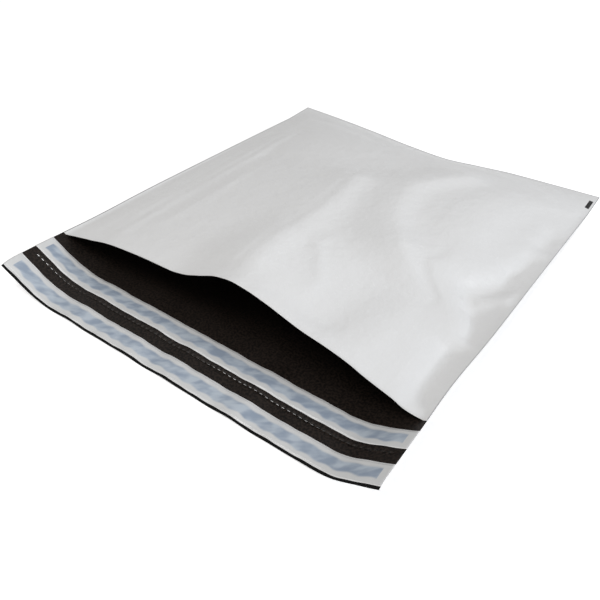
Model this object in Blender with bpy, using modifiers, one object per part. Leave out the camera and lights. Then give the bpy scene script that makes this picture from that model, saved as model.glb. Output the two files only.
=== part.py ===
"""Poly mailer bag, lying open on its back as it does just after it was filled.

A plastic film, white outside and black inside, is folded at the far end and welded
along both sides to make the pocket. The back runs on past the mouth as the closing
flap, which carries two bands of adhesive under peel-off liners, with a tear line of
short slots between them. The flap is turned out flat, and its ends curl up with the
side welds. Metres, +Z up, the mouth toward -Y, the middle of the bag's extent on the Z axis.
"""

import bmesh
import bpy
import numpy as np
from mathutils import Matrix

# Film and pocket
BAG_WIDTH = 0.403
POCKET_DEPTH = 0.4188
FLAP_DEPTH = 0.0686
FILM = 0.0001
SIDE_WELD = 0.003
FOLD_BAND = 0.004
TRIM_STEP = 0.0002

# Side welds lift off the table toward the flap, and droop a little at its corners
SIDE_LIFT = 0.0245
FLAT_STRETCH = 0.0438
LEFT_LIFT_POWER = 1.15
RIGHT_LIFT_POWER = 1.35
CORNER_DROOP = 0.0022
DROOP_REACH = 0.015
CURL_WIDTH = 0.060
CURL_POWER = 1.75

# Sides pull in as they rise and beside the swollen mouth, and the near end stands a
# little to the left
SIDE_DRAW_IN = 0.0035
HUMP_DRAW_IN = 0.002
HUMP_PLACE = 0.040
HUMP_REACH = 0.050
NEAR_END_SHIFT = 0.0015

# Swell of the front panel over the pocket
CROWN_AT_MOUTH = 0.040
CROWN_AT_FOLD = 0.022
LEFT_FULLNESS = 3.6
RIGHT_FULLNESS = 3.2
FOLD_FULLNESS = 12.0
MOUTH_REACH = 0.092
MOUTH_FADE = 1.3

# How far the mouth edge stands over the back, by place across the half width
MOUTH_RISE = (
    (-1.0, 0.0),
    (-0.914, 0.0132),
    (-0.812, 0.0251),
    (-0.711, 0.0330),
    (-0.61, 0.0359),
    (-0.41, 0.0385),
    (-0.28, 0.0388),
    (-0.20, 0.0413),
    (-0.10, 0.0485),
    (0.0, 0.0565),
    (0.085, 0.0592),
    (0.15, 0.0582),
    (0.25, 0.0548),
    (0.45, 0.0457),
    (0.56, 0.0428),
    (0.66, 0.0385),
    (0.76, 0.0309),
    (0.863, 0.0195),
    (0.914, 0.0108),
    (1.0, 0.0),
)

# How far the mouth edge and the far fold are pulled in by the swell
MOUTH_SETBACK = ((-1.0, 0.0), (-0.5, 0.002), (0.1, 0.004), (0.6, 0.001), (1.0, 0.0))
FOLD_PULL_IN = (
    (-1.0, 0.0),
    (-0.75, 0.0035),
    (-0.45, 0.0097),
    (-0.15, 0.0178),
    (0.09, 0.0213),
    (0.3, 0.0145),
    (0.5, 0.0075),
    (0.75, 0.0035),
    (1.0, 0.0),
)

# Ridges and hollows of the front panel, and hollows beside its right weld. Each has a line
# of points, given by distance behind the mouth and place across, then its height and its
# breadths left and right
PANEL_FOLDS = (
    (((0.050, 0.002), (0.100, -0.003), (0.174, -0.007), (0.245, -0.016)), 0.0068, 0.060, 0.021),
    (((0.004, -0.034), (0.090, -0.008)), 0.0020, 0.030, 0.018),
    (
        ((0.140, 0.102), (0.162, 0.084), (0.199, 0.060), (0.230, 0.046), (0.267, 0.041), (0.335, 0.076)),
        0.0060,
        0.042,
        0.019,
    ),
    (
        ((0.162, 0.122), (0.199, 0.143), (0.230, 0.131), (0.273, 0.128), (0.330, 0.148), (0.362, 0.184)),
        0.0064,
        0.050,
        0.023,
    ),
    (((0.010, 0.088), (0.110, 0.102)), -0.0062, 0.034, 0.040),
)
EDGE_HOLLOWS = (
    (((0.095, 0.184), (0.118, 0.172), (0.140, 0.178), (0.172, 0.162), (0.205, 0.182)), -0.0075, 0.014, 0.020),
    (((0.215, 0.184), (0.245, 0.178), (0.290, 0.190)), -0.0060, 0.013, 0.014),
    (((0.010, 0.188), (0.048, 0.180), (0.080, 0.170)), -0.0070, 0.018, 0.020),
)
FOLD_RUN_OUT = 0.024
EDGE_POWER = 24
LIP_REACH = 0.020
LEAST_SWELL = 0.35

# Tear line of slots through the flap
TEAR_LINE = 0.0322
SLOT_LENGTH = 0.0025
SLOT_WIDTH = 0.0005
SLOT_PITCH = 0.0055

# Adhesive bands and their liners, measured from the flap's outer edge
HEM = 0.0024
LINER_WIDTH = 0.0195
BLACK_STRIP = 0.0154
ADHESIVE_WIDTH = 0.009
ADHESIVE_END_MARGIN = 0.005
ADHESIVE_THICKNESS = 0.0001
LINER_THICKNESS = 0.0001
CLEARANCE = 0.0003

# Fineness of the meshes; the flap's rows are given by distance from its outer edge
FLAP_PLACES = (0.0, 0.0075, 0.015, 0.0373, 0.0568)
CURL_COLUMNS = 7
MIDDLE_COLUMNS = 22
POCKET_ROWS = 23
FOLD_ROWS = 5

HALF_WIDTH = BAG_WIDTH / 2.0
LIFT_RUN = FLAP_DEPTH + POCKET_DEPTH - FLAT_STRETCH
MIDDLE_Y = (POCKET_DEPTH - FLAP_DEPTH) / 2.0


def clear_scene():
    for item in list(bpy.data.objects):
        bpy.data.objects.remove(item, do_unlink=True)


def new_collection(name):
    group = bpy.data.collections.new(name)
    bpy.context.scene.collection.children.link(group)
    return group


def plastic(name, colour, roughness):
    material = bpy.data.materials.new(name)
    material.use_nodes = True
    shader = material.node_tree.nodes["Principled BSDF"]
    shader.inputs["Base Color"].default_value = (*colour, 1.0)
    shader.inputs["Roughness"].default_value = roughness
    shader.inputs["Metallic"].default_value = 0.0
    return material


def curve_through(points, where):
    """Smooth curve through the points that never overshoots them: cubic pieces whose
    slope at a point is the harmonic mean of its neighbours' slopes, or zero at a peak."""
    across = np.array([point[0] for point in points])
    value = np.array([point[1] for point in points])
    chord = np.diff(value) / np.diff(across)
    slope = np.zeros(len(points))
    slope[0] = chord[0]
    slope[-1] = chord[-1]
    rising = chord[:-1] * chord[1:] > 0.0
    slope[1:-1][rising] = 2.0 * chord[:-1][rising] * chord[1:][rising] / (chord[:-1] + chord[1:])[rising]
    inside = np.clip(where, across[0], across[-1])
    piece = np.clip(np.searchsorted(across, inside, side="right") - 1, 0, len(points) - 2)
    span = np.diff(across)[piece]
    t = (inside - across[piece]) / span
    start = value[piece] * (1.0 + 2.0 * t) * (1.0 - t) ** 2 + span * slope[piece] * t * (1.0 - t) ** 2
    end = value[piece + 1] * t**2 * (3.0 - 2.0 * t) + span * slope[piece + 1] * t**2 * (t - 1.0)
    return start + end


def share_run(y):
    """Distance from the flap's outer edge as a share of the stretch where the sides lift."""
    return np.clip((y + FLAP_DEPTH) / LIFT_RUN, 0.0, 1.0)


def weld_lift(u, y):
    """Height of the side welds over the table, falling to nothing before the far fold."""
    power = np.where(u < 0.0, LEFT_LIFT_POWER, RIGHT_LIFT_POWER)
    droop = CORNER_DROOP * np.clip(1.0 - (y + FLAP_DEPTH) / DROOP_REACH, 0.0, 1.0) ** 2
    return SIDE_LIFT * (1.0 - share_run(y) ** power) - droop


def back_height(u, y):
    """Back panel and flap: flat on the table, curling up over the last of the width."""
    past_flat = np.abs(u) * HALF_WIDTH - (HALF_WIDTH - CURL_WIDTH)
    return weld_lift(u, y) * np.clip(past_flat / CURL_WIDTH, 0.0, 1.0) ** CURL_POWER


def across_place(u, y):
    beside_hump = np.exp(-(((y - HUMP_PLACE) / HUMP_REACH) ** 2))
    draw_in = SIDE_DRAW_IN * weld_lift(u, y) / SIDE_LIFT + HUMP_DRAW_IN * beside_hump
    return u * (HALF_WIDTH - draw_in) - NEAR_END_SHIFT * (1.0 - share_run(y))


def pocket_y(u, v):
    """Distance behind the mouth line, from the mouth edge at v = 0 to the fold at v = 1."""
    mouth_edge = curve_through(MOUTH_SETBACK, u)
    far_fold = POCKET_DEPTH - curve_through(FOLD_PULL_IN, u)
    return mouth_edge * (1.0 - v) + far_fold * v


def fold_height(x, y, folds):
    """Sum of soft folds, each a bell across its line that fades out past its ends."""
    total = np.zeros(np.broadcast(x, y).shape)
    for line, height, left_breadth, right_breadth in folds:
        aside = x - curve_through(line, y)
        past_end = np.maximum(line[0][0] - y, 0.0) + np.maximum(y - line[-1][0], 0.0)
        breadth = np.where(aside < 0.0, left_breadth, right_breadth)
        total = total + height * np.exp(-((aside / breadth) ** 2) - (past_end / FOLD_RUN_OUT) ** 2)
    return total


def swell(u, v):
    """Gap between front and back: the mouth's own rise fades into a broad pillow that is
    shut along both side welds and the far fold."""
    u_open = np.clip(np.abs(u) / (1.0 - SIDE_WELD / HALF_WIDTH), 0.0, 1.0)
    v_open = np.clip(v / (1.0 - FOLD_BAND / POCKET_DEPTH), 0.0, 1.0)
    crown = CROWN_AT_MOUTH + (CROWN_AT_FOLD - CROWN_AT_MOUTH) * v_open
    side_shut = 1.0 - u_open ** np.where(u < 0.0, LEFT_FULLNESS, RIGHT_FULLNESS)
    fold_shut = 1.0 - v_open**FOLD_FULLNESS
    near_mouth = np.exp(-((v * POCKET_DEPTH / MOUTH_REACH) ** MOUTH_FADE))
    mouth = curve_through(MOUTH_RISE, np.sign(u) * u_open)
    pillow = near_mouth * mouth + (1.0 - near_mouth) * crown * side_shut
    x = u * HALF_WIDTH
    y = v * POCKET_DEPTH
    folds = fold_height(x, y, PANEL_FOLDS) * side_shut
    folds += fold_height(x, y, EDGE_HOLLOWS) * (1.0 - u_open**EDGE_POWER)
    behind_lip = 1.0 - np.exp(-((y / LIP_REACH) ** 2))
    return fold_shut * np.maximum(pillow + folds * behind_lip, LEAST_SWELL * pillow)


def across_columns():
    """Places across the bag, from -1 to 1 of the half width, closer where the film curls."""
    flat_edge = 1.0 - CURL_WIDTH / HALF_WIDTH
    weld_edge = 1.0 - SIDE_WELD / HALF_WIDTH
    middle = np.linspace(-flat_edge, flat_edge, MIDDLE_COLUMNS + 1)
    curl = np.linspace(flat_edge, weld_edge, CURL_COLUMNS + 1)[1:]
    side = np.append(curl, 1.0)
    return np.concatenate([-side[::-1], middle, side])


def pocket_rows():
    """Places along the pocket, from the mouth edge to the far fold, closer at the fold."""
    fold_edge = 1.0 - FOLD_BAND / POCKET_DEPTH
    slope_start = 1.0 - CURL_WIDTH / POCKET_DEPTH
    body = np.linspace(0.0, slope_start, POCKET_ROWS - FOLD_ROWS + 1)
    slope = np.linspace(slope_start, fold_edge, FOLD_ROWS + 1)[1:]
    return np.concatenate([body, slope, [1.0]])


def flap_rows():
    """Places along the flap, from -1 at its outer edge to just short of the mouth line."""
    return np.array(FLAP_PLACES) / FLAP_DEPTH - 1.0


def sheet(name, columns, rows, surface, face_up):
    """Grid of one vertex for each column and row, moved onto surface(u, row)."""
    bm = bmesh.new()
    bmesh.ops.create_grid(bm, x_segments=len(columns) - 1, y_segments=len(rows) - 1, size=1.0)
    bmesh.ops.triangulate(bm, faces=bm.faces[:], quad_method="FIXED")
    place = np.array([vertex.co for vertex in bm.verts])
    column = np.rint((place[:, 0] + 1.0) / 2.0 * (len(columns) - 1)).astype(int)
    row = np.rint((place[:, 1] + 1.0) / 2.0 * (len(rows) - 1)).astype(int)
    points = np.stack(surface(columns[column], rows[row]), axis=1)
    points[:, 1] -= MIDDLE_Y
    for vertex, point in zip(bm.verts, points):
        vertex.co = point
    if not face_up:
        bmesh.ops.reverse_faces(bm, faces=bm.faces[:])
    mesh = bpy.data.meshes.new(name)
    bm.to_mesh(mesh)
    bm.free()
    mesh.shade_smooth()
    return bpy.data.objects.new(name, mesh)


def add_thickness(item, thickness):
    solidify = item.modifiers.new("thickness", "SOLIDIFY")
    solidify.thickness = thickness
    solidify.offset = -1.0
    solidify.use_even_offset = True
    return solidify


def cut_or_join(item, other, operation):
    boolean = item.modifiers.new(f"{operation.lower()} {other.name}", "BOOLEAN")
    boolean.operation = operation
    boolean.object = other


def as_cutter(item, group):
    item.hide_render = True
    item.display_type = "WIRE"
    group.objects.link(item)


def back_web():
    """Underside of the back panel and flap, one sheet from the flap's edge to the fold."""

    def surface(u, row):
        flap_y = -FLAP_DEPTH + (1.0 + row) * (FLAP_DEPTH + curve_through(MOUTH_SETBACK, u))
        y = np.where(row < 0.0, flap_y, pocket_y(u, np.maximum(row, 0.0)))
        return across_place(u, y), y, back_height(u, y)

    rows = np.concatenate([flap_rows(), pocket_rows()])
    return sheet("film_bag", across_columns(), rows, surface, face_up=False)


def front_panel():
    """Upper side of the front panel. Along the welds and the fold its film sinks halfway
    into the back's film, and its edge is trimmed a hair inside the back's."""
    trim_u = TRIM_STEP / HALF_WIDTH
    trim_v = TRIM_STEP / POCKET_DEPTH

    def surface(u, v):
        u = np.clip(u, -1.0 + trim_u, 1.0 - trim_u)
        v = np.minimum(v, 1.0 - trim_v)
        y = pocket_y(u, v)
        return across_place(u, y), y, back_height(u, y) + swell(u, v) + 1.5 * FILM

    return sheet("front_panel", across_columns(), pocket_rows(), surface, face_up=True)


def tear_slots():
    """One upright box for each slot of the tear line, following the curl of the flap."""
    y = -FLAP_DEPTH + TEAR_LINE
    half_count = int((HALF_WIDTH - SIDE_WELD - SLOT_LENGTH / 2.0) / SLOT_PITCH)
    slot_height = 0.004
    bm = bmesh.new()
    for step in range(-half_count, half_count + 1):
        u = step * SLOT_PITCH / HALF_WIDTH
        place = (across_place(u, y), y - MIDDLE_Y, back_height(u, y))
        size = Matrix.Diagonal((SLOT_LENGTH, SLOT_WIDTH, slot_height, 1.0))
        bmesh.ops.create_cube(bm, size=1.0, matrix=Matrix.Translation(place) @ size)
    mesh = bpy.data.meshes.new("tear_slots")
    bm.to_mesh(mesh)
    bm.free()
    return bpy.data.objects.new("tear_slots", mesh)


def make_film(parts, cutters):
    bag = back_web()
    front = front_panel()
    slots = tear_slots()
    for web in (bag, front):
        web.data.materials.append(plastic(f"{web.name} white outside", (0.72, 0.72, 0.72), 0.35))
        web.data.materials.append(plastic(f"{web.name} black inside", (0.025, 0.021, 0.020), 0.30))
        add_thickness(web, FILM).material_offset = 1
    as_cutter(front, cutters)
    as_cutter(slots, cutters)
    parts.objects.link(bag)
    cut_or_join(bag, front, "UNION")
    cut_or_join(bag, slots, "DIFFERENCE")


def band(name, near, width, end_margin, standoff, thickness, material, parts):
    """Strip lying along the flap, standing the given distance over the film's underside."""
    end = 1.0 - end_margin / HALF_WIDTH
    inner_columns = [u for u in across_columns() if abs(u) < end]
    columns = np.array([-end, *inner_columns, end])
    inner_rows = [place for place in FLAP_PLACES if near < place < near + width]
    rows = np.array([near, *inner_rows, near + width]) - FLAP_DEPTH

    def surface(u, y):
        return across_place(u, y), y, back_height(u, y) + standoff + thickness

    strip = sheet(name, columns, rows, surface, face_up=True)
    strip.data.materials.append(material)
    add_thickness(strip, thickness)
    parts.objects.link(strip)


def make_closure(side_name, liner_start, parts):
    """One band of adhesive on the flap, and the wider liner that covers it."""
    on_film = FILM + CLEARANCE
    on_adhesive = on_film + ADHESIVE_THICKNESS + CLEARANCE
    adhesive_start = liner_start + (LINER_WIDTH - ADHESIVE_WIDTH) / 2.0
    adhesive = plastic(f"{side_name} adhesive", (0.36, 0.43, 0.50), 0.45)
    liner = plastic(f"{side_name} liner", (0.52, 0.55, 0.60), 0.30)
    band(
        f"{side_name}_adhesive",
        adhesive_start,
        ADHESIVE_WIDTH,
        ADHESIVE_END_MARGIN,
        on_film,
        ADHESIVE_THICKNESS,
        adhesive,
        parts,
    )
    band(f"{side_name}_liner", liner_start, LINER_WIDTH, 0.0, on_adhesive, LINER_THICKNESS, liner, parts)


def make_bag():
    clear_scene()
    parts = new_collection("poly_mailer_bag")
    cutters = new_collection("cutters")
    make_film(parts, cutters)
    make_closure("outer", HEM, parts)
    make_closure("inner", HEM + LINER_WIDTH + BLACK_STRIP, parts)


make_bag()
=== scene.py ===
from math import cos, pi, radians, sin

import bpy
import numpy as np
from mathutils import Matrix, Vector


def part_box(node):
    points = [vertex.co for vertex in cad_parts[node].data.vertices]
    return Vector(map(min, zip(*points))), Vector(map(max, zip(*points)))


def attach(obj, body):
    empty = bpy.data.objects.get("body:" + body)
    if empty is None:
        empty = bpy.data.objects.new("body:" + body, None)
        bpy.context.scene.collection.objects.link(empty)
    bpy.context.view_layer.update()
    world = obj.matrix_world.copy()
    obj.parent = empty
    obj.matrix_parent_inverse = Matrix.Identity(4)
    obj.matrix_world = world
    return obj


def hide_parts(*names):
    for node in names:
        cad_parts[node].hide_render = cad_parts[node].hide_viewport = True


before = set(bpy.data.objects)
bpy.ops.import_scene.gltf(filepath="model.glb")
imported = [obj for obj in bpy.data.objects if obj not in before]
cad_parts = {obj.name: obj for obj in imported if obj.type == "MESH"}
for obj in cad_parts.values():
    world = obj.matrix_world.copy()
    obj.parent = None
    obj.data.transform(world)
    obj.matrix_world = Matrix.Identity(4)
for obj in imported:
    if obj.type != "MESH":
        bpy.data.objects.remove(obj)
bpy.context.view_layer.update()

# The bag's film: one sheet of blown polyethylene, white outside and black inside, folded at
# the far end and welded along both sides. The front panel stays swelled over the pocket, and
# the back runs on past the mouth as the closing flap, cut through by the slots of a tear line.
film_low, film_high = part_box("film_bag")
half_width = 0.2015
flap_depth = 0.0686
pocket_depth = film_high[1] - film_low[1] - flap_depth
middle_y = (pocket_depth - flap_depth) / 2.0
film_thickness = 0.0001

side_weld = 0.003
fold_band = 0.004
fold_radius = 0.0003
side_lift = 0.0245
lift_run = flap_depth + pocket_depth - 0.0438
left_lift_power = 1.15
right_lift_power = 1.35
corner_droop = 0.0022
droop_reach = 0.015
curl_width = 0.060
curl_power = 1.75
side_draw_in = 0.0035
hump_draw_in = 0.002
hump_place = 0.040
hump_reach = 0.050
near_end_shift = 0.0015
ripple_height = 0.0018
ripple_reach = 0.024

crown_at_mouth = 0.040
crown_at_fold = 0.022
left_fullness = 3.6
right_fullness = 3.2
fold_fullness = 12.0
mouth_reach = 0.092
mouth_fade = 1.3
mouth_rise = (
    (-1.0, 0.0), (-0.914, 0.0132), (-0.812, 0.0251), (-0.711, 0.0330), (-0.61, 0.0359),
    (-0.41, 0.0385), (-0.28, 0.0388), (-0.20, 0.0413), (-0.10, 0.0485), (0.0, 0.0565),
    (0.085, 0.0592), (0.15, 0.0582), (0.25, 0.0548), (0.45, 0.0457), (0.56, 0.0428),
    (0.66, 0.0385), (0.76, 0.0309), (0.863, 0.0195), (0.914, 0.0108), (1.0, 0.0),
)
mouth_setback = ((-1.0, 0.0), (-0.5, 0.002), (0.1, 0.004), (0.6, 0.001), (1.0, 0.0))
fold_pull_in = (
    (-1.0, 0.0), (-0.75, 0.0035), (-0.45, 0.0097), (-0.15, 0.0178), (0.09, 0.0213),
    (0.3, 0.0145), (0.5, 0.0075), (0.75, 0.0035), (1.0, 0.0),
)

# The front panel's long folds, then its fine creases, then the hollows beside its right
# weld. Each row holds whether the fold runs across the bag, its line as pairs of run and
# sideways place in metres, its height, and its breadth on the low side and the high side.
panel_folds = (
    (
        False, ((0.050, 0.002), (0.100, -0.003), (0.174, -0.007), (0.245, -0.016)),
        0.0068, 0.060, 0.021,
    ),
    (False, ((0.004, -0.034), (0.090, -0.008)), 0.0020, 0.030, 0.018),
    (
        False,
        (
            (0.140, 0.102), (0.162, 0.084), (0.199, 0.060),
            (0.230, 0.046), (0.267, 0.041), (0.335, 0.076),
        ),
        0.0060, 0.042, 0.019,
    ),
    (
        False,
        (
            (0.162, 0.122), (0.199, 0.143), (0.230, 0.131),
            (0.273, 0.128), (0.330, 0.148), (0.362, 0.184),
        ),
        0.0064, 0.050, 0.023,
    ),
    (False, ((0.010, 0.088), (0.110, 0.102)), -0.0074, 0.046, 0.031),
)
fine_creases = (
    (False, ((0.066, 0.062), (0.110, 0.030)), 0.0016, 0.010, 0.007),
    (
        False, ((0.010, 0.002), (0.100, -0.008), (0.174, -0.011), (0.245, -0.021)),
        -0.0004, 0.005, 0.004,
    ),
    (
        False,
        ((0.124, 0.142), (0.135, 0.131), (0.145, 0.120), (0.157, 0.113), (0.172, 0.120)),
        -0.0016, 0.016, 0.006,
    ),
    (False, ((0.020, -0.142), (0.150, -0.147), (0.300, -0.151)), 0.0014, 0.007, 0.006),
    (False, ((0.030, -0.157), (0.180, -0.162), (0.320, -0.165)), 0.0010, 0.005, 0.006),
    (False, ((0.060, -0.172), (0.220, -0.176), (0.360, -0.170)), 0.0007, 0.003, 0.003),
    (False, ((0.120, -0.183), (0.300, -0.184)), 0.0007, 0.003, 0.003),
    (False, ((0.085, -0.119), (0.170, -0.121)), 0.0009, 0.006, 0.008),
    (False, ((0.010, -0.176), (0.100, -0.160)), 0.0022, 0.014, 0.014),
    (False, ((0.190, -0.160), (0.330, -0.166)), 0.0006, 0.003, 0.004),
    (True, ((-0.130, 0.246), (-0.050, 0.250)), -0.0022, 0.034, 0.016),
    (True, ((-0.160, 0.386), (-0.065, 0.374)), -0.0018, 0.010, 0.012),
    (True, ((0.020, 0.385), (0.150, 0.372)), 0.0006, 0.004, 0.004),
)
edge_hollows = (
    (False, ((0.006, 0.193), (0.040, 0.192), (0.076, 0.188)), -0.0120, 0.018, 0.020),
    (False, ((0.108, 0.190), (0.128, 0.185), (0.148, 0.190)), -0.0100, 0.012, 0.020),
    (
        False, ((0.140, 0.172), (0.158, 0.161), (0.178, 0.170), (0.206, 0.184)),
        -0.0090, 0.012, 0.018,
    ),
    (False, ((0.215, 0.184), (0.245, 0.188)), -0.0070, 0.011, 0.016),
    (False, ((0.275, 0.188), (0.300, 0.190)), -0.0050, 0.010, 0.016),
)
fold_run_out = 0.024
hollow_run_out = 0.012
weld_hold = 24
lip_reach = 0.020
least_swell = 0.12

tear_line = 0.0322
slot_length = 0.0025
slot_width = 0.0005
slot_pitch = 0.0055
left_gape_end = -0.165
middle_gape = 0.075
middle_gape_reach = 0.052
gape_fade = 0.006
least_gape = 0.12
middle_gape_share = 0.75

fold_turn = 0.001
front_start = pocket_depth + fold_turn
mouth_edge = front_start + pocket_depth
hem = 0.0024
mark_across = 0.1965
mark_along = mouth_edge - 0.3958
mark_width = 0.0044
mark_length = 0.0187


def curve_through(points, where):
    """Cubic pieces through the points; the slope at each is the harmonic mean of the two
    chords beside it, or zero where they turn, so the curve never overshoots a point."""
    across = np.array([point[0] for point in points])
    value = np.array([point[1] for point in points])
    chord = np.diff(value) / np.diff(across)
    slope = np.zeros(len(points))
    slope[0], slope[-1] = chord[0], chord[-1]
    rising = chord[:-1] * chord[1:] > 0.0
    slope[1:-1][rising] = 2.0 * (chord[:-1] * chord[1:])[rising] / (chord[:-1] + chord[1:])[rising]
    inside = np.clip(where, across[0], across[-1])
    piece = np.clip(np.searchsorted(across, inside, side="right") - 1, 0, len(points) - 2)
    span = np.diff(across)[piece]
    t = (inside - across[piece]) / span
    start = value[piece] * (1.0 + 2.0 * t) * (1.0 - t) ** 2 + span * slope[piece] * t * (1.0 - t) ** 2
    end = value[piece + 1] * t**2 * (3.0 - 2.0 * t) + span * slope[piece + 1] * t**2 * (t - 1.0)
    return start + end


def share_run(y):
    """Distance from the flap's outer edge as a share of the stretch where the sides lift."""
    return np.clip((y + flap_depth) / lift_run, 0.0, 1.0)


def weld_lift(u, y):
    """Height of the side welds: full near the flap's edge and less by a power of the distance
    run, after a droop at the flap's corner that fades as a square."""
    power = np.where(u < 0.0, left_lift_power, right_lift_power)
    droop = corner_droop * np.clip(1.0 - (y + flap_depth) / droop_reach, 0.0, 1.0) ** 2
    return side_lift * (1.0 - share_run(y) ** power) - droop


def flap_ripple(u, y):
    """Two sine waves across the flap, from zero to the ripple's height, fading out in a
    straight line towards the mouth."""
    x = u * half_width
    wave = 0.5 + 0.3 * np.sin(2.0 * pi * x / 0.062 + 0.6) + 0.2 * np.sin(2.0 * pi * x / 0.037 + 2.0)
    return ripple_height * wave * np.clip(-y / ripple_reach, 0.0, 1.0)


def back_height(u, y):
    """Underside of the back and flap: zero in the middle, and a power of the distance past
    the flat stretch, up to the weld's lift, at each side, on top of the flap's ripple."""
    past_flat = np.abs(u) * half_width - (half_width - curl_width)
    curl = weld_lift(u, y) * np.clip(past_flat / curl_width, 0.0, 1.0) ** curl_power
    return curl + flap_ripple(u, y)


def across_place(u, y):
    """Distance from the middle line: the half width less the draw-in of the lifted weld and
    of the swelled mouth, with the near end shifted a little to the left."""
    beside_hump = np.exp(-(((y - hump_place) / hump_reach) ** 2))
    draw_in = side_draw_in * weld_lift(u, y) / side_lift + hump_draw_in * beside_hump
    return u * (half_width - draw_in) - near_end_shift * (1.0 - share_run(y))


def pocket_y(u, v):
    """Straight run from the mouth edge at v = 0 to the far fold at v = 1."""
    mouth_edge = curve_through(mouth_setback, u)
    far_fold = pocket_depth - curve_through(fold_pull_in, u)
    return mouth_edge * (1.0 - v) + far_fold * v


def fold_height(x, y, folds, run_out=fold_run_out):
    """Sum of folds: each is its height times a bell of the sideways distance from its line,
    and runs out past the line's ends as a second bell."""
    total = np.zeros(np.broadcast(x, y).shape)
    for crosswise, line, height, low_breadth, high_breadth in folds:
        run, place = (x, y) if crosswise else (y, x)
        aside = place - curve_through(line, run)
        past_end = np.maximum(line[0][0] - run, 0.0) + np.maximum(run - line[-1][0], 0.0)
        breadth = np.where(aside < 0.0, low_breadth, high_breadth)
        total += height * np.exp(-((aside / breadth) ** 2) - (past_end / run_out) ** 2)
    return total


def swell(u, v):
    """Gap between front and back: the mouth's rise fades with a falling exponential into a
    pillow, which is one less a power of the place across, and one less a power along."""
    u_open = np.clip(np.abs(u) / (1.0 - side_weld / half_width), 0.0, 1.0)
    v_open = np.clip(v / (1.0 - fold_band / pocket_depth), 0.0, 1.0)
    crown = crown_at_mouth + (crown_at_fold - crown_at_mouth) * v_open
    side_shut = 1.0 - u_open ** np.where(u < 0.0, left_fullness, right_fullness)
    fold_shut = 1.0 - v_open**fold_fullness
    near_mouth = np.exp(-((v * pocket_depth / mouth_reach) ** mouth_fade))
    mouth = curve_through(mouth_rise, np.sign(u) * u_open)
    pillow = near_mouth * mouth + (1.0 - near_mouth) * crown * side_shut
    x, y = u * half_width, v * pocket_depth
    folds = fold_height(x, y, panel_folds) * side_shut
    beside_weld = fold_height(x, y, fine_creases)
    beside_weld += fold_height(x, y, edge_hollows, hollow_run_out)
    folds += beside_weld * (1.0 - u_open**weld_hold)
    behind_lip = 1.0 - np.exp(-((y / lip_reach) ** 2))
    return fold_shut * np.maximum(pillow + folds * behind_lip, least_swell * pillow)


def steps(start, end, pitch):
    """Evenly spaced values from start to end, no further apart than the pitch."""
    return np.linspace(start, end, int(np.ceil((end - start) / pitch)) + 1)


def film_columns():
    """Places across: both ends of each slot, then the weld."""
    last_slot = int((half_width - side_weld - slot_length / 2.0) / slot_pitch)
    centres = np.arange(-last_slot, last_slot + 1) * slot_pitch
    ends = np.concatenate([centres - slot_length / 2.0, centres + slot_length / 2.0])
    weld = half_width - np.array([side_weld, side_weld / 2.0, 0.0])
    return np.sort(np.concatenate([ends, weld, -weld])) / half_width


def slit_gape(x):
    """Share by which the tear line's slits stand open: full in two stretches where the flap
    is bent over, each shut off by a smooth step, and a little elsewhere."""
    left = 1.0 / (1.0 + np.exp((x - left_gape_end) / gape_fade))
    past_middle = np.abs(x - middle_gape) - middle_gape_reach
    middle = 1.0 / (1.0 + np.exp(past_middle / gape_fade))
    opened = np.clip(left + middle_gape_share * middle, 0.0, 1.0)
    return least_gape + (1.0 - least_gape) * opened


def film_surface(u, row):
    """The web's outer face. Rows run along the web: -1 to 0 is the flap, 0 to 1 the back,
    1 to 2 the turn round the far fold, and 2 to 3 the front panel back to the mouth edge."""
    flap_y = -flap_depth + (1.0 + row) * (flap_depth + curve_through(mouth_setback, u))
    from_slits = -flap_depth + tear_line - flap_y
    slit_edge = np.abs(row - slit_rows.mean()) < 0.6 * np.ptp(slit_rows)
    flap_y = np.where(slit_edge, flap_y + from_slits * (1.0 - slit_gape(u * half_width)), flap_y)
    back_v = np.clip(row, 0.0, 1.0)
    front_v = np.clip(3.0 - row, 0.0, 1.0)
    y = np.where(row < 0.0, flap_y, pocket_y(u, np.where(row < 1.5, back_v, front_v)))
    turn = np.clip(row - 1.0, 0.0, 1.0)
    front_gap = 2.0 * film_thickness + swell(u, front_v)
    fold_gap = front_gap * (1.0 - np.cos(pi * turn)) / 2.0
    gap = np.where(row >= 2.0, front_gap, fold_gap)
    bulge = np.where((row > 1.0) & (row < 2.0), fold_radius * np.sin(pi * turn), 0.0)
    z = back_height(u, y) + gap
    return np.stack([across_place(u, y), y + bulge - middle_y, z], axis=-1)


def along_web(row):
    """Distance along the film from the mouth's level: minus on the flap, then down the back
    and, past the far fold, up the front."""
    places = (-flap_depth, 0.0, pocket_depth, front_start, mouth_edge)
    return np.interp(row, (-1.0, 0.0, 1.0, 2.0, 3.0), places)


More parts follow.
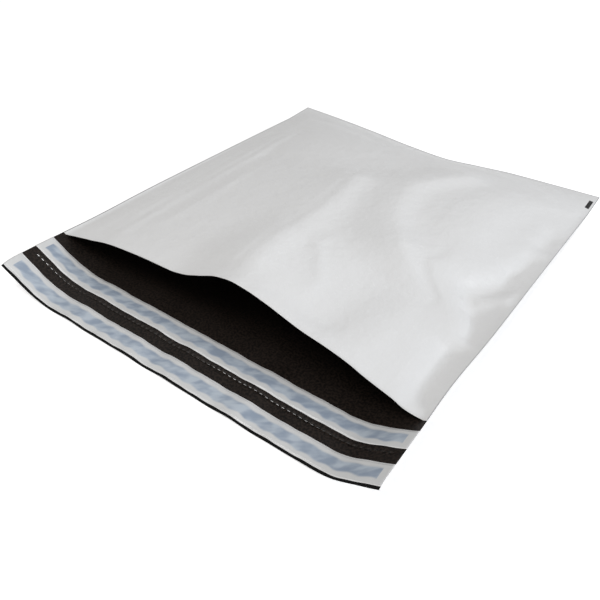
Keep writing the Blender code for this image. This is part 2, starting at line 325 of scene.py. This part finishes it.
def grid_mesh(name, points, kept, across, along):
    """Mesh of one quad for each kept cell of a grid of points, rows first, with a UV map in
    metres: the place across the web and the distance along it."""
    row_count, column_count = points.shape[:2]
    corner = np.arange(row_count * column_count).reshape(row_count, column_count)
    quads = np.stack([corner[:-1, :-1], corner[1:, :-1], corner[1:, 1:], corner[:-1, 1:]], axis=-1)
    quads = quads[kept]
    mesh = bpy.data.meshes.new(name)
    mesh.vertices.add(points.shape[0] * points.shape[1])
    mesh.vertices.foreach_set("co", points.astype(np.float32).ravel())
    mesh.loops.add(quads.size)
    mesh.loops.foreach_set("vertex_index", quads.astype(np.int32).ravel())
    mesh.polygons.add(len(quads))
    mesh.polygons.foreach_set("loop_start", np.arange(0, quads.size, 4, dtype=np.int32))
    mesh.update(calc_edges=True)
    flat = np.stack(np.broadcast_arrays(across, along), axis=-1).reshape(-1, 2)
    mesh.uv_layers.new(name="web").data.foreach_set("uv", flat[quads].astype(np.float32).ravel())
    mesh.shade_smooth()
    return mesh


def show(name, mesh, thickness, materials, inner=0, rim=0):
    """Object at the origin with its wall thickness on the inner side of its surface."""
    item = bpy.data.objects.new(name, mesh)
    bpy.context.scene.collection.objects.link(item)
    for material in materials:
        mesh.materials.append(material)
    wall = item.modifiers.new("film thickness", "SOLIDIFY")
    wall.thickness = thickness
    wall.offset = -1.0
    wall.material_offset = inner
    wall.material_offset_rim = rim
    return item


class Wire:
    """One socket in a material. Arithmetic on wires and numbers adds the Math nodes."""

    def __init__(self, tree, socket):
        self.tree = tree
        self.socket = socket

    def join(self, operation, first, second):
        return node(self.tree, "ShaderNodeMath", {"operation": operation}, {0: first, 1: second})

    def __add__(self, other):
        return self.join("ADD", self, other)

    def __radd__(self, other):
        return self.join("ADD", other, self)

    def __sub__(self, other):
        return self.join("SUBTRACT", self, other)

    def __rsub__(self, other):
        return self.join("SUBTRACT", other, self)

    def __mul__(self, other):
        return self.join("MULTIPLY", self, other)

    def __rmul__(self, other):
        return self.join("MULTIPLY", other, self)

    def __lt__(self, other):
        return self.join("LESS_THAN", self, other)

    def __gt__(self, other):
        return self.join("GREATER_THAN", self, other)

    def size(self):
        return self.join("ABSOLUTE", self, 0.0)


def node(tree, kind, settings, sockets, output=0):
    """Any node: its settings are set first, then its sockets take values or wires."""
    made = tree.nodes.new(kind)
    for key, value in settings.items():
        setattr(made, key, value)
    for key, value in sockets.items():
        if isinstance(value, Wire):
            tree.links.new(value.socket, made.inputs[key])
        else:
            made.inputs[key].default_value = value
    return Wire(tree, made.outputs[output])


def finish(name, roughness, specular=0.5, coat=0.0):
    """New Principled material; returns it, its tree and its shader."""
    material = bpy.data.materials.new(name)
    material.use_nodes = True
    shader = material.node_tree.nodes["Principled BSDF"]
    shader.inputs["Roughness"].default_value = roughness
    shader.inputs["Specular IOR Level"].default_value = specular
    shader.inputs["Coat Weight"].default_value = coat
    return material, material.node_tree, shader


def feed(tree, shader, socket, wire):
    tree.links.new(wire.socket, shader.inputs[socket])


def mix_colour(tree, factor, first, second):
    return node(
        tree, "ShaderNodeMix", {"data_type": "RGBA"},
        {0: factor, 6: first, 7: second}, output=2,
    )


def noise(tree, place, scale, detail, roughness=0.5):
    return node(
        tree, "ShaderNodeTexNoise", {},
        {"Vector": place, "Scale": scale, "Detail": detail, "Roughness": roughness},
    )


def web_place(tree):
    """The piece's UV map, then the place across and the distance along it."""
    web = node(tree, "ShaderNodeUVMap", {"uv_map": "web"}, {})
    axes = node(tree, "ShaderNodeSeparateXYZ", {}, {0: web})
    return web, axes, Wire(tree, axes.socket.node.outputs[1])


def ramp(tree, value, start, end, low=0.0, high=1.0):
    """Smooth step of a value between two places."""
    return node(
        tree, "ShaderNodeMapRange", {"interpolation_type": "SMOOTHSTEP"},
        {0: value, 1: start, 2: end, 3: low, 4: high},
    )


def roughen(tree, shader, height, strength, distance):
    """Bump the surface by a height wire."""
    sockets = {"Strength": strength, "Distance": distance, "Height": height}
    feed(tree, shader, "Normal", node(tree, "ShaderNodeBump", {}, sockets))


def white_film():
    """Satin white film: streaks along the web, soft mottle and fine crinkle. The black layer
    greys it at the welds, painted shade greys a thin line along the far fold, a painted
    highlight lightens a strip along the mouth's cut edge, and a small black register mark
    is printed at one far corner."""
    material, tree, shader = finish("white film", 0.42, specular=0.45)
    web, across, along = web_place(tree)
    stretched = node(
        tree, "ShaderNodeVectorMath", {"operation": "MULTIPLY"},
        {0: web, 1: (1.0, 0.06, 1.0)},
    )
    streaks = noise(tree, stretched, 260.0, 2.0)
    mottle = noise(tree, web, 9.0, 3.0)
    shade = 0.25 * streaks + 0.75 * mottle
    white = mix_colour(tree, shade, (0.735, 0.735, 0.735, 1.0), (0.775, 0.775, 0.775, 1.0))
    from_side = half_width - across.size()
    weld = ramp(tree, from_side, 0.0004, 0.0012, 1.0, 0.0)
    # Painted shade: the grey along the far fold stands in for shade where the film turns over; the
    # grey at the welds is the black layer showing.
    from_fold = (along - (pocket_depth + front_start) / 2.0).size()
    painted_fold_shade = ramp(tree, from_fold, 0.0006, 0.0020, 1.0, 0.0)
    grey = mix_colour(tree, 0.75 * (weld + painted_fold_shade - weld * painted_fold_shade), white, (0.28, 0.28, 0.285, 1.0))
    # Painted highlight: a lighter strip along the mouth's cut edge, where the edge catches the light.
    lip_highlight = along > mouth_edge - 0.0008
    lip_highlighted = mix_colour(tree, lip_highlight, grey, (0.84, 0.84, 0.84, 1.0))
    mark_x = (across - mark_across).size() < mark_width / 2.0
    mark_y = (along - mark_along).size() < mark_length / 2.0
    printed = mix_colour(tree, mark_x * mark_y, lip_highlighted, (0.008, 0.008, 0.008, 1.0))
    feed(tree, shader, "Base Color", printed)
    feed(tree, shader, "Roughness", 0.38 + 0.12 * mottle)
    crinkle = noise(tree, web, 60.0, 5.0, 0.58)
    relief = 0.93 * crinkle + 0.07 * streaks
    roughen(tree, shader, relief, 0.9, 0.0016)
    return material


def black_film():
    """The black inner layer: near black, glossier than the white, with a fine speckle whose
    faint brown is painted warm reflection, and darkest along the flap's outer hem."""
    material, tree, shader = finish("black film", 0.40, specular=0.23)
    web, _, along = web_place(tree)
    mottle = noise(tree, web, 30.0, 4.0)
    grain = noise(tree, web, 520.0, 2.0)
    speckle = 0.3 * mottle + 0.7 * ramp(tree, grain, 0.36, 0.64)
    # Painted reflection: the brown end of the speckle stands in for warm light reflected in the black
    # film.
    black = mix_colour(tree, speckle, (0.001, 0.001, 0.001, 1.0), (0.028, 0.020, 0.016, 1.0))
    on_hem = along < hem - flap_depth
    hemmed = mix_colour(tree, on_hem, black, (0.002, 0.002, 0.002, 1.0))
    feed(tree, shader, "Base Color", hemmed)
    feed(tree, shader, "Roughness", 0.34 + 0.15 * mottle + 0.45 * on_hem)
    roughen(tree, shader, 0.5 * grain + 0.5 * mottle, 0.3, 0.0004)
    return material


def cut_edge():
    """The film's cut edge: a grey line where the black layer shows, and black on the hem."""
    material, tree, shader = finish("cut film edge", 0.7, specular=0.12)
    web, _, along = web_place(tree)
    mottle = noise(tree, web, 200.0, 2.0)
    grey = mix_colour(tree, mottle, (0.10, 0.10, 0.10, 1.0), (0.22, 0.22, 0.22, 1.0))
    on_hem = along < hem - flap_depth
    edge_colour = mix_colour(tree, on_hem, grey, (0.001, 0.001, 0.001, 1.0))
    feed(tree, shader, "Base Color", edge_colour)
    return material


columns = film_columns()
slit_rows = (tear_line + np.array([-0.5, 0.5]) * slot_width) / flap_depth - 1.0
flap_pitch = 0.0026 / flap_depth
pocket_pitch = 0.0029 / pocket_depth
turn_places = 6
before_slits = steps(-1.0, slit_rows[0], flap_pitch)
flap_rows = np.concatenate([before_slits, steps(slit_rows[1], 0.0, flap_pitch)[:-1]])
back_rows = steps(0.0, 1.0, pocket_pitch)
turn_rows = np.linspace(1.0, 2.0, turn_places)[1:-1]
front_rows = 3.0 - back_rows[::-1]
rows = np.concatenate([flap_rows, back_rows, turn_rows, front_rows])
u, row = columns[None, :], rows[:, None]
u_grid, row_grid = np.broadcast_arrays(u, row)
points = film_surface(u_grid, row_grid)
middle_of_cells = (columns[:-1] + columns[1:]) / 2.0 * half_width
from_slot = np.abs(np.mod(middle_of_cells + slot_pitch / 2.0, slot_pitch) - slot_pitch / 2.0)
in_slot = from_slot < slot_length / 2.0
in_slot &= np.abs(middle_of_cells) < half_width - side_weld
kept = np.ones((len(rows) - 1, len(columns) - 1), dtype=bool)
kept[len(before_slits) - 1, in_slot] = False
film_mesh = grid_mesh("film", points, kept, u_grid * half_width, along_web(row_grid))
film_materials = [white_film(), black_film(), cut_edge()]
film = show("film", film_mesh, film_thickness, film_materials, inner=1, rim=2)
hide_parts("film_bag")
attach(film, "root")

# The two closures: on each a band of blue-grey hot-melt adhesive, laid along the flap in a
# bead that spread to a wavy edge, under a milky release liner that is peeled off to close
# the bag. The outer one seals the parcel, and the inner one seals it again for its return.
liner_width = 0.0195
black_strip = 0.0154
adhesive_width = 0.009
adhesive_end_margin = 0.0055
adhesive_thickness = 0.0001
liner_thickness = 0.0001
seat = 0.00003
scallop_pitch = 0.0165
scallop_depth = 0.0011
scallop_mean = 0.64
strip_pitch = 0.0017
strip_rows = 9
band_fade = 0.0012


def band_points(near, far, edge_wave, end_margin, standoff, phase):
    """Strip on the flap between two distances from its outer edge, each edge moved by a wave."""
    x_places = steps(-half_width + end_margin, half_width - end_margin, strip_pitch)
    share = np.linspace(0.0, 1.0, strip_rows)[:, None]
    x = x_places[None, :]
    near_edge = near + edge_wave(x, phase)
    far_edge = far + edge_wave(x, phase + 2.1)
    y = -flap_depth + near_edge * (1.0 - share) + far_edge * share
    u = np.broadcast_to(x / half_width, y.shape)
    z = back_height(u, y) + film_thickness + standoff
    return np.stack([across_place(u, y), y - middle_y, z], axis=-1), u * half_width, y + flap_depth


def scallops(x, phase):
    """Rounded scallops along the adhesive's edge, of uneven size."""
    wave = np.abs(np.sin(pi * x / scallop_pitch + phase))
    swing = 0.6 + 0.4 * np.sin(2.0 * pi * x / 0.093 + 3.0 * phase)
    return scallop_depth * (wave - scallop_mean) * swing


def liner_waver(x, phase):
    """The slit edge of the liner wanders by a fraction of a millimetre."""
    slow = 0.00018 * np.sin(2.0 * pi * x / 0.047 + phase)
    return slow + 0.00012 * np.sin(2.0 * pi * x / 0.0173 + 2.0 * phase)


def liner_material(name, liner_near):
    """Milky release film: pale where it lies on bare film, blue-grey and blotchy over the
    adhesive, whose edge is scalloped where the bead spread, with a painted highlight along its slit
    edges."""
    material, tree, shader = finish(name, 0.34, specular=0.5, coat=0.15)
    web, across, along = web_place(tree)
    spread = noise(tree, web, 70.0, 3.0)
    skewed = node(
        tree, "ShaderNodeMapping", {"vector_type": "TEXTURE"},
        {"Vector": web, "Rotation": (0.0, 0.0, radians(34.0)), "Scale": (1.7, 0.8, 1.0)},
    )
    blotch = noise(tree, skewed, 95.0, 2.0, 0.5)
    wave = node(
        tree, "ShaderNodeTexWave", {"wave_type": "BANDS", "bands_direction": "X"},
        {
            "Vector": web, "Scale": 6.283 / 20.0 / scallop_pitch,
            "Distortion": 2.2, "Detail": 1.0, "Detail Scale": 0.6,
        },
        output=1,
    )
    inside = along - liner_near
    near_edge = (liner_width - adhesive_width) / 2.0 - 0.0006 + 0.0013 * wave + 0.0016 * (spread - 0.5)
    far_edge = (liner_width + adhesive_width) / 2.0 + 0.0008 * wave + 0.0014 * (spread - 0.5)
    rise = ramp(tree, inside - near_edge, -band_fade, band_fade)
    fall = ramp(tree, inside - far_edge, -band_fade, band_fade, 1.0, 0.0)
    glue_end = half_width - adhesive_end_margin
    ends = ramp(tree, across.size(), glue_end - 0.0008, glue_end, 1.0, 0.0)
    band = rise * fall * ends
    streaked = ramp(tree, blotch, 0.36, 0.66)
    glue = mix_colour(tree, streaked, (0.30, 0.36, 0.45, 1.0), (0.50, 0.56, 0.63, 1.0))
    pale = mix_colour(tree, spread, (0.60, 0.61, 0.62, 1.0), (0.74, 0.74, 0.73, 1.0))
    body = mix_colour(tree, band, pale, glue)
    # Painted highlight: a bright line along both slit edges, where the raised edges catch the light.
    half_liner = liner_width / 2.0
    slit_edge = ramp(tree, (inside - half_liner).size(), half_liner - 0.0010, half_liner - 0.0006)
    edge_highlighted = mix_colour(tree, slit_edge, body, (0.92, 0.92, 0.92, 1.0))
    feed(tree, shader, "Base Color", edge_highlighted)
    roughen(tree, shader, 0.5 * spread + 0.5 * band, 0.5, 0.0005)
    return material


def glue_material():
    """Soft blue-grey adhesive."""
    material, tree, shader = finish("adhesive", 0.35)
    place = node(tree, "ShaderNodeTexCoord", {}, {}, output=3)
    blotch = noise(tree, place, 160.0, 3.0)
    blue_grey = mix_colour(tree, blotch, (0.28, 0.35, 0.43, 1.0), (0.40, 0.48, 0.56, 1.0))
    feed(tree, shader, "Base Color", blue_grey)
    return material


def strip_mesh(name, strip):
    """Mesh of a strip's points, turned over so that its outer face looks up."""
    points, across, along = strip
    every_cell = np.ones((points.shape[0] - 1, points.shape[1] - 1), dtype=bool)
    return grid_mesh(name, points[::-1], every_cell, across[::-1], along[::-1])


glue = glue_material()
glue_top = seat + adhesive_thickness
liner_top = glue_top + seat + liner_thickness
for side, liner_near, phase in (
    ("outer", hem, 0.4),
    ("inner", hem + liner_width + black_strip, 1.9),
):
    glue_near = liner_near + (liner_width - adhesive_width) / 2.0
    glue_far = glue_near + adhesive_width
    bead = band_points(glue_near, glue_far, scallops, adhesive_end_margin, glue_top, phase)
    mesh = strip_mesh(f"{side} adhesive", bead)
    band = show(f"{side}_adhesive_band", mesh, adhesive_thickness, [glue])
    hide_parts(f"{side}_adhesive")
    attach(band, "root")

    liner_far = liner_near + liner_width
    tape = band_points(liner_near, liner_far, liner_waver, 0.0, liner_top, phase)
    mesh = strip_mesh(f"{side} liner", tape)
    milky = liner_material(f"{side} liner", liner_near)
    liner = show(f"{side}_release_liner", mesh, liner_thickness, [milky])
    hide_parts(f"{side}_liner")
    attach(liner, "root")

# A plain white studio floor under soft light. It lifts itself to white where the camera or a
# reflection sees it, and keeps the bag's shadow.
floor_size = 6.0
floor_glow = 0.42
far_glow = 0.75
glow_start = 0.6
glow_end = 1.8
floor_mesh = bpy.data.meshes.new("floor")
floor_signs = ((-1, -1), (1, -1), (1, 1), (-1, 1))
floor_corners = [(x * floor_size, y * floor_size, 0.0) for x, y in floor_signs]
floor_mesh.from_pydata(floor_corners, [], [(0, 1, 2, 3)])
floor = bpy.data.objects.new("floor", floor_mesh)
bpy.context.scene.collection.objects.link(floor)
floor.location.z = -0.0002
floor_material, floor_tree, floor_shader = finish("studio floor", 0.9, specular=0.1)
floor_shader.inputs["Base Color"].default_value = (0.92, 0.92, 0.92, 1.0)
seen = node(floor_tree, "ShaderNodeLightPath", {}, {})
rays = seen.socket.node.outputs
seen_ray = (
    Wire(floor_tree, rays["Is Camera Ray"]) + Wire(floor_tree, rays["Is Glossy Ray"])
    + Wire(floor_tree, rays["Is Transmission Ray"])
)
place = node(floor_tree, "ShaderNodeTexCoord", {}, {}, output=3)
from_middle = node(floor_tree, "ShaderNodeVectorMath", {"operation": "LENGTH"}, {0: place}, output=1)
glow_strength = ramp(floor_tree, from_middle, glow_start, glow_end, floor_glow, far_glow)
glow = node(
    floor_tree, "ShaderNodeEmission", {},
    {"Color": (1.0, 1.0, 1.0, 1.0), "Strength": glow_strength * seen_ray},
)
lit_floor = Wire(floor_tree, floor_shader.outputs[0])
lit = node(floor_tree, "ShaderNodeAddShader", {}, {0: lit_floor, 1: glow})
floor_tree.links.new(lit.socket, floor_tree.nodes["Material Output"].inputs["Surface"])
floor_mesh.materials.append(floor_material)

world = bpy.data.worlds.new("studio")
bpy.context.scene.world = world
world.use_nodes = True
sky = world.node_tree
background = sky.nodes["Background"]
background.inputs["Color"].default_value = (1.0, 1.0, 1.0, 1.0)
seen = node(sky, "ShaderNodeLightPath", {}, {}).socket.node.outputs
world_light = 0.35
seen_ray = Wire(sky, seen["Is Camera Ray"]) + Wire(sky, seen["Is Transmission Ray"])
sky.links.new((world_light + (1.0 - world_light) * seen_ray).socket, background.inputs["Strength"])


def soft_lamp(name, place, aim, size, power, colour):
    """Square area lamp turned to face its aim."""
    lamp = bpy.data.lights.new(name, "AREA")
    lamp.shape = "SQUARE"
    lamp.size = size
    lamp.energy = power
    lamp.color = colour
    item = bpy.data.objects.new(name, lamp)
    bpy.context.scene.collection.objects.link(item)
    item.location = place
    item.rotation_euler = (Vector(aim) - Vector(place)).to_track_quat("-Z", "Y").to_euler()


soft_lamp("overhead softbox", (-0.30, -0.50, 1.30), (0.0, 0.0, 0.0), 0.8, 8.0, (1.0, 0.985, 0.965))
soft_lamp("side softbox", (1.75, 0.25, 0.66), (0.0, 0.0, 0.0), 0.7, 18.0, (0.93, 0.96, 1.0))
soft_lamp("back softbox", (-0.10, 1.05, 0.75), (0.0, 0.0, 0.0), 0.5, 1.0, (0.97, 0.98, 1.0))

# The camera looks down on the bag from beyond its mouth, to the right.
camera_yaw = radians(35.34)
camera_elevation = radians(40.64)
camera_roll = radians(0.61)
camera_distance = 0.5800
camera_target = Vector((0.0324, 0.0744 - middle_y, 0.0))
camera = bpy.data.cameras.new("camera")
camera.sensor_width = 36.0
camera.lens = 38.19
viewer = bpy.data.objects.new("camera", camera)
bpy.context.scene.collection.objects.link(viewer)
back = Vector((
    sin(camera_yaw) * cos(camera_elevation),
    -cos(camera_yaw) * cos(camera_elevation),
    sin(camera_elevation),
))
right = (-back).cross(Vector((0.0, 0.0, 1.0))).normalized()
up = right.cross(-back)
rolled_right = cos(camera_roll) * right + sin(camera_roll) * up
rolled_up = -sin(camera_roll) * right + cos(camera_roll) * up
turn = Matrix((rolled_right, rolled_up, back)).transposed().to_4x4()
viewer.matrix_world = Matrix.Translation(camera_target + camera_distance * back) @ turn
bpy.context.scene.camera = viewer
bpy.context.scene.view_settings.view_transform = "Standard"
